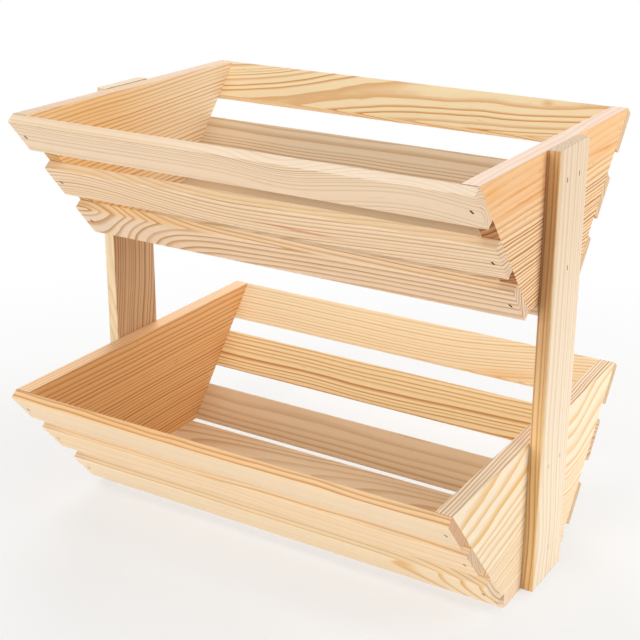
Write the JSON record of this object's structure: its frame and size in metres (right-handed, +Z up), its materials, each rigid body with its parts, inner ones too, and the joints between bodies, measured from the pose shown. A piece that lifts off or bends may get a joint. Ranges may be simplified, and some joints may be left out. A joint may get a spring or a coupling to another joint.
{
  "type": "tiered fruit basket",
  "caption": "Tiered fruit basket of nailed pine boards: flared slatted trays hang one above the other between flat end posts and hold loose fruit on a stall or counter.",
  "frame": {"origin": "on the ground, midway between the two posts and midway between front and back", "axes": "+X along the slats towards the right post, +Y from the front to the back, +Z up"},
  "size_m": [0.399, 0.3126, 0.3366],
  "materials": {
    "pine_slat": "planed and sanded pine, bare, fine straight grain along the slat",
    "pine_panel": "planed and sanded pine, bare, warm flat-sawn grain along the panel",
    "pine_post": "planed and sanded pine, bare, fine upright grain",
    "pine_floor": "planed pine, bare, grain along the board",
    "steel_brad": "bare dark steel wire, set just below the wood"
  },
  "bodies": {
    "root": {"upper_front_top_slat": "pine_slat", "upper_front_middle_slat": "pine_slat", "upper_front_bottom_slat": "pine_slat", "upper_back_top_slat": "pine_slat", "upper_back_middle_slat": "pine_slat", "upper_back_bottom_slat": "pine_slat", "lower_front_top_slat": "pine_slat", "lower_front_middle_slat": "pine_slat", "lower_front_bottom_slat": "pine_slat", "lower_back_top_slat": "pine_slat", "lower_back_middle_slat": "pine_slat", "lower_back_bottom_slat": "pine_slat", "upper_left_end_panel": "pine_panel", "upper_right_end_panel": "pine_panel", "lower_left_end_panel": "pine_panel", "lower_right_end_panel": "pine_panel", "left_post": "pine_post", "right_post": "pine_post", "upper_floor_board": "pine_floor", "lower_front_floor_board": "pine_floor", "lower_back_floor_board": "pine_floor", "upper_front_slat_brads": "steel_brad", "upper_back_slat_brads": "steel_brad", "lower_front_slat_brads": "steel_brad", "lower_back_slat_brads": "steel_brad", "left_post_brads": "steel_brad", "right_post_brads": "steel_brad", "upper_floor_brads": "steel_brad", "lower_floor_brads": "steel_brad"}
  },
  "joints": []
}
